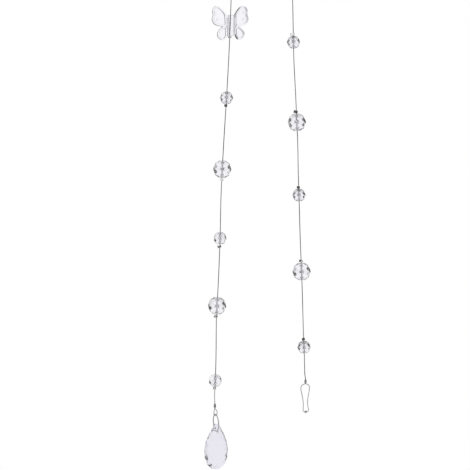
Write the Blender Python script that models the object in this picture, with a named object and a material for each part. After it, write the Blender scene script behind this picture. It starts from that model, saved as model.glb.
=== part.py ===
"""A beaded hanging strand: clear line, faceted beads, a butterfly and a teardrop prism.

The line is folded over its hanging point, which is the origin, and its two runs
hang down at X below and above zero. Metres, +Z up, the viewer looks along +Y.
"""
import math
from collections import namedtuple

import bmesh
import bpy
from mathutils import Matrix, Vector

MM = 0.001

# Clearance kept between neighbouring pieces.
GAP = 0.3 * MM

# Corners closer than this are one, facets closer to flat than this are one facet, and edges
# sharper than this stay sharp when round faces are smoothed.
MERGE = 0.01 * MM
FLAT = math.radians(1)
SHARP = math.radians(40)

# The line and the arch in which it is folded.
LINE_RADIUS = 0.34 * MM
LINE_ROUNDNESS = 0
ARCH_RADIUS = 24.4 * MM
ARCH_STEPS = 16
RUN_STEP = 9.0 * MM
LOOP_STEP = 0.7 * MM
LOOP_TURN_STEPS = 8
RUN_SPREAD = 0.5 * MM
STRAIGHT = 0.6 * MM
TAIL = 0.3 * MM

# Round beads: distance across their corners, and the bore for the line.
LARGE = 14.8 * MM
SMALL = 10.6 * MM
BEAD_BORE = 0.9 * MM
BORE_SIDES = 16
BEAD_SIDES = 8
BEAD_RINGS = 5

# Flattened tube crimps.
CRIMP_BORE = 0.66 * MM
CRIMP_THICK = 1.9 * MM
CRIMP_HEIGHT = 2.0 * MM
CRIMP_SIDES = 16
CRIMP_BEVEL = 0.2 * MM

# The butterfly bead, upright about its body tube, with its left wings the lower ones.
BUTTERFLY_DEPTH = 47.2 * MM
BUTTERFLY_SHIFT = 0.45 * MM
BUTTERFLY_LEAN = math.radians(1.2)
BUTTERFLY_TURN = math.radians(9.0)
BUTTERFLY_BORE = 1.3 * MM
BODY_RADIUS = 2.5 * MM
BODY_TOP = 7.2 * MM
BODY_BOTTOM = 9.7 * MM
BODY_SIDES = 24
WEB_HALF = 3.8 * MM
WEB_TOP = 4.8 * MM
WEB_BOTTOM = 8.0 * MM
WEB_THICK = 1.2 * MM
WING_TILT = math.radians(-3.2)
WING_FOLD = math.radians(9.0)
UPPER_WING_THICK = 3.2 * MM
LOWER_WING_THICK = 2.8 * MM
WING_CURVE = 3
WING_SPOT_RADIUS = 0.9 * MM
WING_SPOT_HEIGHT = 0.4 * MM
WING_SPOT_SIDES = 12
BUTTERFLY_CRIMP_WIDTH = 2.6 * MM
BUTTERFLY_CRIMP_HEIGHT = 1.2 * MM

# The end loop, its crimp, and the wire ring that it carries.
END_CRIMP = Vector((-37.6, 0.0, -352.6)) * MM
END_CRIMP_HEIGHT = 2.6 * MM
END_LOOP_SLACK = 0.38 * MM
END_LOOP_SHOULDER = 2.4 * MM
RING_TOP = Vector((-37.1, 0.0, -359.4)) * MM
RING_RADIUS = 6.85 * MM
RING_WIRE = 0.45 * MM
RING_LEAN = math.radians(3.4)
RING_SLIT_ANGLE = math.radians(63.0)
RING_SLIT = 0.35 * MM
RING_STEPS = 44
RING_ROUNDNESS = 2

# The teardrop prism, hanging from the ring and turned with it.
TURN = math.radians(18.5)
DROP_LEAN = math.radians(1.6)
DROP_RIM_THICK = 1.6 * MM
DROP_STEP_THICK = 6.2 * MM
DROP_NECK_THICK = 5.4 * MM
DROP_THICK = 7.4 * MM
DROP_HOLE_RADIUS = 1.4 * MM
DROP_HOLE_DEPTH = 6.1 * MM
DROP_HOLE_SAG = 0.1 * MM
DROP_HOLE_SIDES = 20

# The hanging loop at the other end of the line.
LOOP_CRIMP = Vector((34.9, 0.0, -333.0)) * MM
LOOP_CRIMP_WIDTH = 1.75 * MM
LOOP_CRIMP_HEIGHT = 2.2 * MM
LOOP_TIP = Vector((35.1, 0.0, -357.5)) * MM
TIP_CRIMP_RADIUS = 0.98 * MM
TIP_CRIMP_LENGTH = 1.8 * MM

# A place on a run of line: how far below the hanging point, and its X, in mm.
Place = namedtuple("Place", "depth across")
LEFT_RUN = (
    Place(28.0, -24.6),
    Place(60.0, -25.8),
    Place(98.4, -27.8),
    Place(133.6, -30.0),
    Place(156.0, -31.3),
    Place(188.0, -32.8),
    Place(210.4, -33.2),
    Place(239.2, -34.2),
    Place(264.8, -35.4),
    Place(284.0, -36.4),
    Place(306.4, -36.6),
    Place(325.6, -37.0),
    Place(345.0, -37.9),
)
RIGHT_RUN = (
    Place(28.0, 24.6),
    Place(47.2, 25.0),
    Place(76.0, 25.6),
    Place(101.6, 26.9),
    Place(140.0, 28.6),
    Place(165.6, 29.1),
    Place(191.2, 29.9),
    Place(216.8, 30.6),
    Place(252.0, 32.0),
    Place(271.2, 32.6),
    Place(293.6, 33.2),
    Place(312.8, 34.0),
    Place(327.0, 34.3),
)

# The two sides of the hanging loop at each depth, in mm.
Sides = namedtuple("Sides", "depth left right")
HANGING_LOOP = (
    Sides(336.4, 31.9, 37.7),
    Sides(339.2, 31.2, 38.0),
    Sides(342.4, 31.8, 37.5),
    Sides(346.4, 32.6, 36.8),
    Sides(350.4, 33.1, 36.5),
    Sides(353.6, 33.1, 36.9),
    Sides(356.2, 33.0, 37.5),
)

# A bead: its size, depth and turn about the line in degrees; its crimp's width and sideways
# shift in mm, and tilt in degrees.
Bead = namedtuple("Bead", "size depth turn crimp_width crimp_shift crimp_tilt")
LEFT_BEADS = (
    Bead(SMALL, 106.3, 20.0, 2.4, -0.2, 0.0),
    Bead(LARGE, 163.4, 22.5, 2.8, -0.1, 8.0),
    Bead(SMALL, 218.6, 14.0, 3.0, -0.4, -20.0),
    Bead(LARGE, 272.6, 21.0, 3.2, -0.6, -10.0),
    Bead(SMALL, 332.4, 8.0, 2.4, -0.3, 0.0),
)
RIGHT_BEADS = (
    Bead(SMALL, 61.8, 22.5, 3.6, -0.7, -6.0),
    Bead(LARGE, 125.9, 17.0, 3.3, -0.6, 14.0),
    Bead(SMALL, 184.1, 18.0, 2.5, -0.3, 0.0),
    Bead(LARGE, 245.2, 20.0, 3.0, -0.2, 10.0),
    Bead(SMALL, 305.7, 24.0, 2.5, -0.2, -8.0),
)

# Points of one wing's outline, out from the body's middle and up from the bead's middle, in mm.
Edge = namedtuple("Edge", "out up")
UPPER_WING = (
    Edge(3.0, 5.4),
    Edge(3.2, 7.6),
    Edge(4.4, 9.8),
    Edge(6.7, 12.6),
    Edge(9.0, 14.4),
    Edge(11.3, 14.9),
    Edge(13.4, 13.8),
    Edge(14.6, 11.2),
    Edge(14.4, 7.6),
    Edge(15.2, 4.2),
    Edge(14.5, 1.4),
    Edge(12.6, -0.6),
    Edge(10.2, -1.5),
    Edge(7.6, -2.1),
    Edge(5.0, -2.4),
    Edge(3.6, -1.7),
    Edge(2.9, -0.2),
)
LOWER_WING = (
    Edge(2.9, -3.2),
    Edge(3.7, -1.8),
    Edge(5.4, -1.3),
    Edge(8.0, -2.5),
    Edge(10.2, -4.6),
    Edge(11.4, -7.6),
    Edge(10.8, -10.6),
    Edge(8.4, -12.6),
    Edge(5.6, -12.6),
    Edge(3.8, -11.2),
    Edge(3.0, -9.4),
    Edge(2.9, -7.8),
)
WING_SPOTS = (
    Edge(11.6, 9.4),
    Edge(10.6, 3.8),
)

# A wing's face from its edge inward: a slanted wall, a flat rim, and a slope down to the middle.
Step = namedtuple("Step", "inward outward")
WING_WALL = Step(0.7 * MM, 1.2 * MM)
WING_RIM = Step(0.7 * MM, 0.0)
WING_SLOPE = Step(0.4 * MM, -0.6 * MM)

# The prism's outline: how far below its tip, and half its width there, in mm.
Outline = namedtuple("Outline", "below half")
DROP_RIM = (
    Outline(0.0, 1.5),
    Outline(3.6, 3.4),
    Outline(8.4, 6.2),
    Outline(14.2, 8.6),
    Outline(20.6, 9.8),
    Outline(27.0, 9.3),
    Outline(32.8, 6.9),
    Outline(36.2, 2.6),
)
DROP_STEP = (
    Outline(8.2, 3.4),
    Outline(11.8, 5.9),
    Outline(16.0, 7.6),
    Outline(20.6, 8.3),
    Outline(25.8, 7.2),
    Outline(29.6, 4.8),
    Outline(32.0, 1.8),
)
DROP_NECK = (
    Outline(6.4, 1.0),
)
DROP_TABLE = (
    Outline(10.4, 1.0),
    Outline(12.0, 3.4),
    Outline(16.2, 6.2),
    Outline(20.6, 7.1),
    Outline(24.6, 5.4),
    Outline(27.4, 3.6),
    Outline(29.0, 1.4),
)

# Finish of each kind of piece: colour, roughness, metallic value and how solid it looks.
Finish = namedtuple("Finish", "color roughness metallic alpha")
CLEAR_GLASS = Finish((0.90, 0.90, 0.94), 0.03, 0.0, 0.35)
CLEAR_PLASTIC = Finish((0.91, 0.91, 0.95), 0.08, 0.0, 0.45)
CLEAR_LINE = Finish((0.68, 0.68, 0.68), 0.15, 0.0, 0.6)
DARK_METAL = Finish((0.20, 0.20, 0.21), 0.35, 1.0, 1.0)
BRIGHT_METAL = Finish((0.62, 0.62, 0.64), 0.22, 1.0, 1.0)


def clear_scene():
    """Start from an empty file, whatever it held."""
    for obj in list(bpy.data.objects):
        bpy.data.objects.remove(obj, do_unlink=True)


def new_collection(name):
    """A collection linked to the scene."""
    collection = bpy.data.collections.new(name)
    bpy.context.scene.collection.children.link(collection)
    return collection


def principled(name, finish):
    """A plain material with the piece's own colour and gloss."""
    material = bpy.data.materials.new(name)
    material.use_nodes = True
    shader = material.node_tree.nodes["Principled BSDF"]
    shader.inputs["Base Color"].default_value = (*finish.color, 1.0)
    shader.inputs["Roughness"].default_value = finish.roughness
    shader.inputs["Metallic"].default_value = finish.metallic
    shader.inputs["Alpha"].default_value = finish.alpha
    return material


def add_piece(name, mesh, collection, finish):
    """One named sub-part with a material of its own."""
    obj = bpy.data.objects.new(name, mesh)
    collection.objects.link(obj)
    material = principled(name + "_finish", finish)
    if not mesh.materials:
        mesh.materials.append(material)
    obj.material_slots[0].link = "OBJECT"
    obj.material_slots[0].material = material
    return obj


def finished_mesh(name, bm):
    """Turn a bmesh into mesh data with its faces pointing out."""
    bmesh.ops.recalc_face_normals(bm, faces=bm.faces)
    mesh = bpy.data.meshes.new(name)
    bm.to_mesh(mesh)
    bm.free()
    return mesh


def evaluated_mesh(obj, merge=0.0):
    """The mesh of an object after its modifiers or curve bevel, with the object removed."""
    depsgraph = bpy.context.evaluated_depsgraph_get()
    mesh = bpy.data.meshes.new_from_object(obj.evaluated_get(depsgraph))
    bm = bmesh.new()
    bm.from_mesh(mesh)
    if merge:
        bmesh.ops.remove_doubles(bm, verts=bm.verts, dist=merge)
    bmesh.ops.transform(bm, matrix=obj.matrix_world, verts=bm.verts)
    bm.to_mesh(mesh)
    bm.free()
    bpy.data.objects.remove(obj, do_unlink=True)
    return mesh


def combined(base, tools, operation):
    """Join base with tools, or cut tools from it, one after another."""
    scene = bpy.context.scene.collection
    body = bpy.data.objects.new("solid", base)
    scene.objects.link(body)
    helpers = []
    for tool in tools:
        helper = bpy.data.objects.new("tool", tool)
        scene.objects.link(helper)
        helpers.append(helper)
        step = body.modifiers.new("step", "BOOLEAN")
        step.operation = operation
        step.object = helper
    mesh = evaluated_mesh(body)
    for helper in helpers:
        bpy.data.objects.remove(helper, do_unlink=True)
    return mesh


def rod(radius, length, sides, place=Matrix.Identity(4), spread=0.0):
    """A plain round rod along local Z, centred, its front and back halves spread apart."""
    bm = bmesh.new()
    bmesh.ops.create_cone(
        bm, cap_ends=True, segments=sides, radius1=radius, radius2=radius, depth=length
    )
    for vert in bm.verts:
        if abs(vert.co.y) > MERGE:
            vert.co.y += math.copysign(spread, vert.co.y)
    bmesh.ops.transform(bm, matrix=place, verts=bm.verts)
    return finished_mesh("rod", bm)


def smooth_path(points, step):
    """Points about one step apart on a smooth curve through the given points."""
    ends = [points[0] * 2 - points[1]] + list(points) + [points[-1] * 2 - points[-2]]
    path = [points[0]]
    for before, start, stop, after in zip(ends, ends[1:], ends[2:], ends[3:]):
        count = max(1, round((stop - start).length / step))
        for i in range(1, count + 1):
            t = i / count
            even = 2 * start + (before * -1 + stop) * t
            bend = (2 * before - 5 * start + 4 * stop - after) * t * t
            twist = (before * -1 + 3 * start - 3 * stop + after) * t * t * t
            path.append((even + bend + twist) / 2)
    return path


def run_points(run):
    """The places of one run, from the top down."""
    return [Vector((place.across * MM, 0.0, -place.depth * MM)) for place in run]


def arch_points():
    """The half circle in which the line is folded, from the left run to the right one."""
    points = []
    for i in range(1, ARCH_STEPS):
        angle = math.pi * (1 - i / ARCH_STEPS)
        out = ARCH_RADIUS * math.cos(angle)
        up = ARCH_RADIUS * (math.sin(angle) - 1)
        points.append(Vector((out, 0.0, up)))
    return points


def doubled_run(crimp, height, side):
    """The line's straight way through a crimp that holds two runs of it, from the top down."""
    middle = crimp + Vector((0.0, side * RUN_SPREAD, 0.0))
    half = Vector((0.0, 0.0, height / 2))
    reach = Vector((0.0, 0.0, height / 2 + STRAIGHT))
    return [middle + reach, middle + half, middle - half, middle - reach]


def end_loop():
    """The small loop that carries the ring, from the cut tail round to the main run."""
    tail = doubled_run(END_CRIMP, END_CRIMP_HEIGHT, 1)
    tail[0] = tail[0] + Vector((0.0, 0.0, TAIL))
    main = doubled_run(END_CRIMP, END_CRIMP_HEIGHT, -1)
    turn = RING_WIRE + LINE_RADIUS + END_LOOP_SLACK
    shoulder = Vector((0.0, 0.0, END_LOOP_SHOULDER))
    right = Vector((turn, 0.0, 0.0))
    points = tail + [RING_TOP + right + shoulder]
    for i in range(LOOP_TURN_STEPS + 1):
        angle = -math.pi * i / LOOP_TURN_STEPS
        points.append(RING_TOP + Vector((turn * math.cos(angle), 0.0, turn * math.sin(angle))))
    points.append(RING_TOP - right + shoulder)
    return points + main[::-1]


def hanging_loop():
    """The long loop, from the main run round its tip to the cut tail."""
    main = doubled_run(LOOP_CRIMP, LOOP_CRIMP_HEIGHT, -1)
    tail = doubled_run(LOOP_CRIMP, LOOP_CRIMP_HEIGHT, 1)
    tail[0] = tail[0] + Vector((0.0, 0.0, TAIL))
    half = Vector((TIP_CRIMP_LENGTH / 2, 0.0, 0.0))
    reach = Vector((TIP_CRIMP_LENGTH / 2 + STRAIGHT, 0.0, 0.0))
    left = [Vector((row.left * MM, 0.0, -row.depth * MM)) for row in HANGING_LOOP]
    right = [Vector((row.right * MM, 0.0, -row.depth * MM)) for row in HANGING_LOOP]
    turn = [LOOP_TIP - reach, LOOP_TIP - half, LOOP_TIP + half, LOOP_TIP + reach]
    return main + left + turn + right[::-1] + tail[::-1]


def line_routes():
    """The smooth end loop, left run, arch, right run and hanging loop, in order."""
    left = run_points(LEFT_RUN)
    right = run_points(RIGHT_RUN)
    loop = end_loop()
    hanging = hanging_loop()
    legs = smooth_path([loop[-1]] + left[::-1] + arch_points() + right + [hanging[0]], RUN_STEP)
    return smooth_path(loop, LOOP_STEP), legs, smooth_path(hanging, LOOP_STEP)


def wire_mesh(name, points, radius, roundness):
    """A round wire along the points, with closed ends."""
    curve = bpy.data.curves.new(name, "CURVE")
    curve.dimensions = "3D"
    curve.bevel_depth = radius
    curve.bevel_resolution = roundness
    curve.use_fill_caps = True
    spline = curve.splines.new("POLY")
    spline.points.add(len(points) - 1)
    for point, place in zip(spline.points, points):
        point.co = (*place, 1.0)
    obj = bpy.data.objects.new(name, curve)
    bpy.context.scene.collection.objects.link(obj)
    mesh = evaluated_mesh(obj, merge=MERGE)
    bpy.data.curves.remove(curve)
    return mesh


def line_at(legs, depth, side):
    """Where the line is at a depth on the left (-1) or right (+1) run, and its lean there."""
    run = [point for point in legs if point.x * side > 0]
    run.sort(key=lambda point: point.z, reverse=True)
    for upper, lower in zip(run, run[1:]):
        if lower.z <= -depth <= upper.z:
            break
    share = (upper.z + depth) / (upper.z - lower.z)
    lean = math.atan2(upper.x - lower.x, upper.z - lower.z)
    return upper.lerp(lower, share), lean


def on_line(obj, place, lean, turn=0.0):
    """Set a threaded piece on the line, turned about it."""
    obj.location = place
    obj.rotation_mode = "ZYX"
    obj.rotation_euler = (0.0, lean, turn)


def bead_latitudes():
    """Latitudes of the rings of corners at which every facet between them is flat."""
    half_step = math.pi / BEAD_SIDES
    latitudes = [0.0, half_step]
    while len(latitudes) < BEAD_RINGS:
        low, mid = latitudes[-2], latitudes[-1]
        start = Vector((math.cos(low), math.sin(low)))
        way = Vector((math.cos(mid) * math.cos(half_step), math.sin(mid))) - start
        reach = -2 * start.dot(way) / way.length_squared
        latitudes.append(math.asin((start + way * reach).y))
    return latitudes


def faceted_bead(size):
    """A round bead cut in rows of diamond facets, with its bore along Z."""
    bm = bmesh.new()
    step = 2 * math.pi / BEAD_SIDES
    for row, latitude in enumerate(bead_latitudes()):
        for sign in ((1, -1) if row else (1,)):
            for i in range(BEAD_SIDES):
                angle = (i + 0.5 * (row + 1)) * step
                flat = size / 2 * math.cos(latitude)
                height = size / 2 * math.sin(latitude) * sign
                bm.verts.new((flat * math.cos(angle), flat * math.sin(angle), height))
    bmesh.ops.convex_hull(bm, input=bm.verts)
    bmesh.ops.dissolve_limit(bm, angle_limit=FLAT, verts=bm.verts, edges=bm.edges)
    solid = finished_mesh("bead", bm)
    return combined(solid, [rod(BEAD_BORE, 2 * size, BORE_SIDES)], "DIFFERENCE")


def bead_half_height(size):
    """From a bead's middle to its flat end."""
    return size / 2 * math.sin(bead_latitudes()[-1])


def crimp_mesh(width, thick, height, shift=0.0, tilt=0.0, bore_spread=0.0):
    """A flattened tube: tilted outside, with a bore that stays in line with the strand."""
    bm = bmesh.new()
    bmesh.ops.create_cone(
        bm, cap_ends=True, segments=CRIMP_SIDES, radius1=0.5, radius2=0.5, depth=1.0
    )
    bmesh.ops.scale(bm, vec=(width, thick, height), verts=bm.verts)
    rims = [edge for edge in bm.edges if abs(edge.verts[0].co.z - edge.verts[1].co.z) < GAP]
    bmesh.ops.bevel(bm, geom=rims, offset=CRIMP_BEVEL, segments=1, affect="EDGES", profile=0.5)
    place = Matrix.Translation((shift, 0.0, 0.0)) @ Matrix.Rotation(tilt, 4, "Y")
    bmesh.ops.transform(bm, matrix=place, verts=bm.verts)
    solid = finished_mesh("crimp", bm)
    bore = rod(CRIMP_BORE, 2 * (width + height), BORE_SIDES, spread=bore_spread)
    return combined(solid, [bore], "DIFFERENCE")


def wing_plate(edges, side, thick):
    """One wing: a plate on a smooth outline, with slanted walls and a sunk middle."""
    curve = bpy.data.curves.new("wing", "CURVE")
    curve.dimensions = "2D"
    curve.fill_mode = "BOTH"
    curve.extrude = thick / 2 - WING_WALL.outward
    curve.resolution_u = WING_CURVE
    spline = curve.splines.new("BEZIER")
    spline.use_cyclic_u = True
    spline.bezier_points.add(len(edges) - 1)
    for point, edge in zip(spline.bezier_points, edges):
        point.co = (side * edge.out * MM, edge.up * MM, 0.0)
        point.handle_left_type = "AUTO"
        point.handle_right_type = "AUTO"
    obj = bpy.data.objects.new("wing", curve)
    obj.rotation_euler = (math.pi / 2, 0.0, 0.0)
    bpy.context.scene.collection.objects.link(obj)
    bpy.context.view_layer.update()
    mesh = evaluated_mesh(obj, merge=MERGE)
    bpy.data.curves.remove(curve)
    bm = bmesh.new()
    bm.from_mesh(mesh)
    bmesh.ops.recalc_face_normals(bm, faces=bm.faces)
    for facing in (-1, 1):
        front = [face for face in bm.faces if all(v.co.y * facing > 0 for v in face.verts)]
        panel = bmesh.ops.dissolve_faces(bm, faces=front)["region"]
        for step in (WING_WALL, WING_RIM, WING_SLOPE):
            bmesh.ops.inset_region(
                bm,
                faces=panel,
                thickness=step.inward,
                depth=step.outward,
                use_even_offset=True,
            )
    return folded(finished_mesh("wing", bm), side)


def folded(mesh, side):
    """Swing a wing, or a spot on it, back about the body tube."""
    mesh.transform(Matrix.Rotation(side * WING_FOLD, 4, "Z"))
    return mesh


def wing_spot(edge, side):
    """A low round boss that stands on both faces of an upper wing."""
    reach = UPPER_WING_THICK + 2 * (WING_SLOPE.outward + WING_SPOT_HEIGHT)
    place = Matrix.Translation((side * edge.out * MM, 0.0, edge.up * MM))
    across = Matrix.Rotation(math.pi / 2, 4, "X")
    return folded(rod(WING_SPOT_RADIUS, reach, WING_SPOT_SIDES, place @ across), side)


def web_plate():
    """The thin flat plate that joins the wings to the body tube."""
    bm = bmesh.new()
    bmesh.ops.create_cube(bm, size=1.0)
    bmesh.ops.scale(bm, vec=(2 * WEB_HALF, WEB_THICK, WEB_TOP + WEB_BOTTOM), verts=bm.verts)
    bmesh.ops.translate(bm, vec=(0.0, 0.0, (WEB_TOP - WEB_BOTTOM) / 2), verts=bm.verts)
    return finished_mesh("web", bm)


def butterfly_mesh():
    """Body tube, web, four wings and their spots as one moulded solid, bored for the line."""
    length = BODY_TOP + BODY_BOTTOM
    middle = Matrix.Translation((0.0, 0.0, (BODY_TOP - BODY_BOTTOM) / 2))
    body = rod(BODY_RADIUS, length, BODY_SIDES, middle)
    added = [web_plate()]
    for side in (-1, 1):
        added.append(wing_plate(UPPER_WING, side, UPPER_WING_THICK))
        added.append(wing_plate(LOWER_WING, side, LOWER_WING_THICK))
        added.extend(wing_spot(edge, side) for edge in WING_SPOTS)
    for mesh in added:
        mesh.transform(Matrix.Rotation(WING_TILT, 4, "Y"))
    whole = combined(body, added, "UNION")
    return combined(whole, [rod(BUTTERFLY_BORE, 2 * length, BORE_SIDES)], "DIFFERENCE")


def ring_mesh():
    """A wire ring about its own middle, in its local YZ plane, with the slit where its ends meet."""
    half_slit = RING_SLIT / 2 / RING_RADIUS
    sweep = 2 * math.pi - 2 * half_slit
    points = []
    for i in range(RING_STEPS + 1):
        angle = RING_SLIT_ANGLE + half_slit + sweep * i / RING_STEPS
        points.append(Vector((0.0, -math.sin(angle), math.cos(angle))) * RING_RADIUS)
    return wire_mesh("ring", points, RING_WIRE, RING_ROUNDNESS)


def outline_ring(bm, outline, front):
    """Corners of a teardrop outline at one distance in front of the middle plane."""
    for row in outline:
        for side in (-1, 1):
            bm.verts.new((side * row.half * MM, front, DROP_HOLE_DEPTH - row.below * MM))


def drop_mesh():
    """A teardrop prism about its hole: a table on each face, ringed by two rows of facets."""
    bm = bmesh.new()
    for outline, thick in (
        (DROP_RIM, DROP_RIM_THICK),
        (DROP_STEP, DROP_STEP_THICK),
        (DROP_NECK, DROP_NECK_THICK),
        (DROP_TABLE, DROP_THICK),
    ):
        outline_ring(bm, outline, -thick / 2)
        outline_ring(bm, outline, thick / 2)
    bmesh.ops.convex_hull(bm, input=bm.verts)
    bmesh.ops.dissolve_limit(bm, angle_limit=FLAT, verts=bm.verts, edges=bm.edges)
    solid = finished_mesh("drop", bm)
    across = Matrix.Rotation(math.pi / 2, 4, "X")
    hole = rod(DROP_HOLE_RADIUS, 2 * DROP_THICK, DROP_HOLE_SIDES, across)
    return combined(solid, [hole], "DIFFERENCE")


def smooth_round(mesh):
    """Smooth shading on round faces, with the sharp edges kept."""
    mesh.shade_smooth()
    mesh.set_sharp_from_angle(angle=SHARP)


def make_line(parts, routes):
    """The whole strand of line as one solid."""
    loop, legs, hanging = routes
    mesh = wire_mesh("line", loop + legs[1:] + hanging[1:], LINE_RADIUS, LINE_ROUNDNESS)
    add_piece("line", mesh, parts, CLEAR_LINE)


def make_beads(parts, legs):
    """Every round bead, and the crimp that stops it: below it on the left, above it on the right."""
    meshes = {LARGE: faceted_bead(LARGE), SMALL: faceted_bead(SMALL)}
    for label, side, beads in (("left", -1, LEFT_BEADS), ("right", 1, RIGHT_BEADS)):
        for number, bead in enumerate(beads, 1):
            place, lean = line_at(legs, bead.depth * MM, side)
            obj = add_piece(f"{label}_bead_{number}", meshes[bead.size], parts, CLEAR_GLASS)
            on_line(obj, place, lean, math.radians(bead.turn))
            tilt = math.radians(bead.crimp_tilt)
            width = bead.crimp_width * MM
            reach = (CRIMP_HEIGHT * math.cos(tilt) + width * abs(math.sin(tilt))) / 2
            depth = bead.depth * MM - side * (bead_half_height(bead.size) + GAP + reach)
            mesh = crimp_mesh(width, CRIMP_THICK, CRIMP_HEIGHT, bead.crimp_shift * MM, tilt)
            smooth_round(mesh)
            crimp = add_piece(f"{label}_crimp_{number}", mesh, parts, DARK_METAL)
            on_line(crimp, *line_at(legs, depth, side))


def make_butterfly(parts, legs):
    """The butterfly bead and the crimp under its body tube."""
    place = line_at(legs, BUTTERFLY_DEPTH, -1)[0] + Vector((BUTTERFLY_SHIFT, 0.0, 0.0))
    obj = add_piece("butterfly", butterfly_mesh(), parts, CLEAR_PLASTIC)
    on_line(obj, place, BUTTERFLY_LEAN, BUTTERFLY_TURN)
    depth = BUTTERFLY_DEPTH + BODY_BOTTOM + GAP + BUTTERFLY_CRIMP_HEIGHT / 2
    mesh = crimp_mesh(BUTTERFLY_CRIMP_WIDTH, CRIMP_THICK, BUTTERFLY_CRIMP_HEIGHT)
    smooth_round(mesh)
    crimp = add_piece("left_crimp_0", mesh, parts, DARK_METAL)
    on_line(crimp, *line_at(legs, depth, -1))


def make_loop_crimps(parts):
    """The two crimps that close a loop on both runs of line, and the one in the long loop's tip."""
    for name, place, height in (
        ("end_crimp", END_CRIMP, END_CRIMP_HEIGHT),
        ("loop_crimp", LOOP_CRIMP, LOOP_CRIMP_HEIGHT),
    ):
        deep = CRIMP_THICK + 2 * RUN_SPREAD
        mesh = crimp_mesh(LOOP_CRIMP_WIDTH, deep, height, bore_spread=RUN_SPREAD)
        smooth_round(mesh)
        add_piece(name, mesh, parts, DARK_METAL).location = place
    across = 2 * TIP_CRIMP_RADIUS
    mesh = crimp_mesh(across, across, TIP_CRIMP_LENGTH)
    smooth_round(mesh)
    tip = add_piece("loop_tip_crimp", mesh, parts, DARK_METAL)
    tip.location = LOOP_TIP
    tip.rotation_euler = (0.0, math.pi / 2, 0.0)


def make_ring_and_drop(parts):
    """The ring on the end loop, and the prism that hangs from it, both turned the same way."""
    down = Vector((math.sin(RING_LEAN), 0.0, -math.cos(RING_LEAN)))
    mesh = ring_mesh()
    smooth_round(mesh)
    ring = add_piece("ring", mesh, parts, BRIGHT_METAL)
    ring.location = RING_TOP + down * RING_RADIUS
    ring.rotation_euler = (0.0, -RING_LEAN, TURN)
    ring.rotation_mode = "ZYX"
    drop = add_piece("drop", drop_mesh(), parts, CLEAR_GLASS)
    drop.location = RING_TOP + down * 2 * RING_RADIUS - Vector((0.0, 0.0, DROP_HOLE_SAG))
    drop.rotation_euler = (0.0, DROP_LEAN, TURN)
    drop.rotation_mode = "ZYX"


def build():
    """The whole strand."""
    clear_scene()
    parts = new_collection("bead_curtain")
    routes = line_routes()
    make_line(parts, routes)
    make_butterfly(parts, routes[1])
    make_beads(parts, routes[1])
    make_loop_crimps(parts)
    make_ring_and_drop(parts)


build()
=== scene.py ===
"""The looks of a beaded hanging strand: clear line, cut beads, a butterfly and a teardrop prism.

Metres, +Z up, the viewer looks along +Y. The line is folded over the origin.
"""
import math
from collections import namedtuple

import bmesh
import bpy
from mathutils import Matrix, Vector


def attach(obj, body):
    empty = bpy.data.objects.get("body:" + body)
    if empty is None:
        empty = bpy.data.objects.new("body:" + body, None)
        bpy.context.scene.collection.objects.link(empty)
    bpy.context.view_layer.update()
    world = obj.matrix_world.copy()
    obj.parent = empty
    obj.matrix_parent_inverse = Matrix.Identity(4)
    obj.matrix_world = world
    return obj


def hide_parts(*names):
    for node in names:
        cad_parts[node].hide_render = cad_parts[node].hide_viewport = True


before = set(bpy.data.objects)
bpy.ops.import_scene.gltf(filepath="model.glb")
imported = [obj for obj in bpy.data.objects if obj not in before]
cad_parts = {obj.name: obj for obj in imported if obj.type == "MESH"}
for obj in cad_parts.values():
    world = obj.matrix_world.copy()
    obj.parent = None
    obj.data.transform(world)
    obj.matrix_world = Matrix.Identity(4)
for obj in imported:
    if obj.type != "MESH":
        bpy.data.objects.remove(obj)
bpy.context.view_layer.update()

MM = 0.001

# The photograph: its side in pixels, the real width of one pixel, and what its middle shows.
PHOTO_SIDE = 470
PIXEL = 0.8 * MM
PHOTO_MIDDLE = Vector((-21.5, 0.0, -216.0)) * MM
LENS = 120.0
SENSOR = 36.0

# The dark panels: the sine of the angle from the viewing line at which each side starts and
# ends, and the sine of the height at which each starts and ends, as soft steps. The panels
# hang higher on the right than on the left.
PANEL_INNER = (0.55, 0.75)
PANEL_OUTER = (0.88, 0.98)
PANEL_LOW = (-0.50, -0.25)
PANEL_HIGH = (0.15, 0.40)
PANEL_LEAN = 0.2
PANEL_DEPTH = 0.95

# The floor: its height, its size, how far out it fades to white, and how bright it is near.
FLOOR_LEVEL = -0.6
FLOOR_RADIUS = 8.0
FLOOR_FADE = (0.7, 1.4)
FLOOR_LIFT = 0.6
FLOOR_GREY = (0.80, 0.80, 0.80, 1.0)
FLOOR_ROUGHNESS = 0.8
WHITE = (1.0, 1.0, 1.0, 1.0)

# The line, and the arch in which it is folded.
LINE_RADIUS = 0.34 * MM
LINE_SIDES = 16
ARCH_RADIUS = 24.4 * MM
ARCH_STEPS = 16
RUN_STEP = 9.0 * MM
LOOP_STEP = 0.7 * MM
LOOP_TURN_STEPS = 8
RUN_SPREAD = 0.5 * MM
STRAIGHT = 0.6 * MM
TAIL = 0.3 * MM

# Round beads: distance across their corners, their bore, and the polish along their edges.
LARGE = 14.8 * MM
SMALL = 10.6 * MM
BEAD_BORE = 0.9 * MM
BORE_SIDES = 32
BEAD_SIDES = 8
BEAD_RINGS = 5
EDGE_POLISH = 0.07 * MM

# The clear pieces: how strongly each bends light, how matt the beads' bores are, and the scales
# of the noise that tints, hazes and ripples them.
GLASS_INDEX = 1.52
ACRYLIC_INDEX = 1.49
NYLON_INDEX = 1.53
BORE_MATT = 0.45
TINT_SCALE = 90.0
HAZE_SCALE = 400.0
RIPPLE_SCALE = 260.0
RIPPLE_DEPTH = 0.05 * MM

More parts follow.
